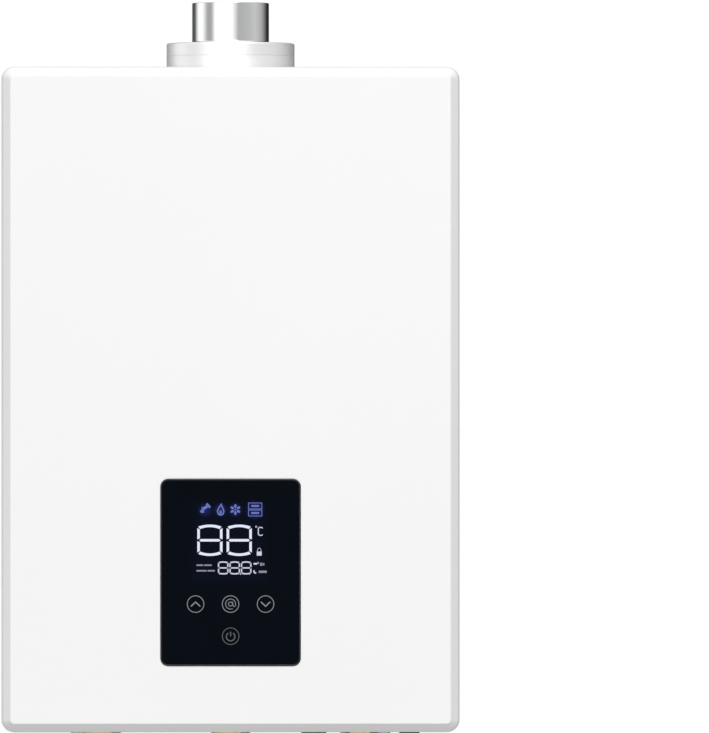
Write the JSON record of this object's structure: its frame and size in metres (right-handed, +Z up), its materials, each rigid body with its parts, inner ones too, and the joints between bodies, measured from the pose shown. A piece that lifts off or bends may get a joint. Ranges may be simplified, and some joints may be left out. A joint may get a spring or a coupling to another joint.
{
  "type": "gas water heater",
  "caption": "wall-hung fan-flued gas water heater with rounded white casing, black glass touch panel and round metal flue adapter on top",
  "frame": {"origin": "middle of the back plate's rear face, on the wall", "axes": "+X right seen from the front, +Y into the wall, +Z up; the front faces -Y"},
  "size_m": [0.355, 0.1455, 0.5955],
  "materials": {
    "casing_white": "gloss white powder coat",
    "zinc_sheet": "galvanised sheet",
    "flue_satin": "satin stainless steel",
    "flue_bright": "polished stainless steel",
    "bezel_black": "black trim",
    "panel_glass": "black back-printed glass",
    "panel_plastic": "moulded plastic",
    "board": "circuit board",
    "copper": "bright copper",
    "stainless": "plain stainless steel",
    "cast_metal": "die cast",
    "brass": "machined brass",
    "black_plastic": "black plastic",
    "motor_steel": "plain steel",
    "screw_steel": "zinc plated",
    "white_ceramic": "glazed ceramic",
    "seal_rubber": "silicone rubber",
    "wire_sleeve": "sleeved wires"
  },
  "bodies": {
    "chassis": {"back_plate": "zinc_sheet", "top_panel": "zinc_sheet", "bottom_panel": "zinc_sheet", "chamber_brackets": "zinc_sheet", "smoke_hood": "zinc_sheet", "fan_housing": "zinc_sheet", "flue_flange": "zinc_sheet", "control_box": "panel_plastic", "control_box_lid": "panel_plastic", "control_board": "board", "exchanger_shell": "copper", "exchanger_fins": "copper", "exchanger_tubes": "copper", "combustion_chamber": "copper", "water_coil": "copper", "cold_pipe": "copper", "hot_pipe": "copper", "burner_frame": "stainless", "burner_bars": "stainless", "inlet_filter": "stainless", "gas_valve_body": "cast_metal", "gas_manifold": "cast_metal", "gas_injectors": "brass", "gas_inlet_connector": "brass", "cold_inlet_connector": "brass", "hot_outlet_connector": "brass", "connector_nuts": "brass", "outlet_sensor": "brass", "solenoid_coil": "black_plastic", "modulator_coil": "black_plastic", "ignition_transformer": "black_plastic", "pressure_switch": "black_plastic", "flow_sensor_body": "black_plastic", "cable_gland": "black_plastic", "overheat_thermostat": "black_plastic", "fan_motor": "motor_steel", "chassis_screws": "screw_steel", "motor_screws": "screw_steel", "ignition_electrodes": "white_ceramic", "flame_sensor": "white_ceramic", "flue_gasket": "seal_rubber", "pressure_tube": "seal_rubber", "wiring_harness": "wire_sleeve"},
    "cover": {"front_cover": "casing_white", "cover_seal": "seal_rubber", "cover_screws": "screw_steel", "panel_bezel": "bezel_black", "glass_panel": "panel_glass", "panel_holder": "panel_plastic", "display_board": "board"},
    "flue_adapter": {"flue_collar": "flue_satin", "flue_spigot": "flue_bright"},
    "fan": {"fan_impeller": "stainless", "fan_shaft": "motor_steel"},
    "flow_turbine": {"flow_turbine": "black_plastic"},
    "solenoid_plunger": {"solenoid_plunger": "motor_steel"},
    "modulator_plunger": {"modulator_plunger": "motor_steel"},
    "drain_plug": {"drain_plug": "black_plastic"}
  },
  "joints": [
    {"name": "cover_slide", "type": "slide", "parent": "chassis", "child": "cover", "axis": [0, -1, 0], "range_m": [0, 0.18]},
    {"name": "adapter_lift", "type": "slide", "parent": "chassis", "child": "flue_adapter", "axis": [0, 0, 1], "range_m": [0, 0.08]},
    {"name": "fan_spin", "type": "hinge", "parent": "chassis", "child": "fan", "pos_m": [0.028, -0.0725, 0.1682], "axis": [0, 1, 0], "continuous": true},
    {"name": "turbine_spin", "type": "hinge", "parent": "chassis", "child": "flow_turbine", "pos_m": [0.1013, -0.057, -0.217], "axis": [0, 0, 1], "continuous": true},
    {"name": "solenoid_pull", "type": "slide", "parent": "chassis", "child": "solenoid_plunger", "axis": [-1, 0, 0], "range_m": [0, 0.004], "stiffness_N_per_m": 200},
    {"name": "modulator_pull", "type": "slide", "parent": "chassis", "child": "modulator_plunger", "axis": [1, 0, 0], "range_m": [0, 0.005], "stiffness_N_per_m": 200},
    {"name": "drain_turn", "type": "hinge", "parent": "chassis", "child": "drain_plug", "pos_m": [0.0653, -0.057, -0.2562], "axis": [0, 0, 1], "range_deg": [0, 90]}
  ]
}
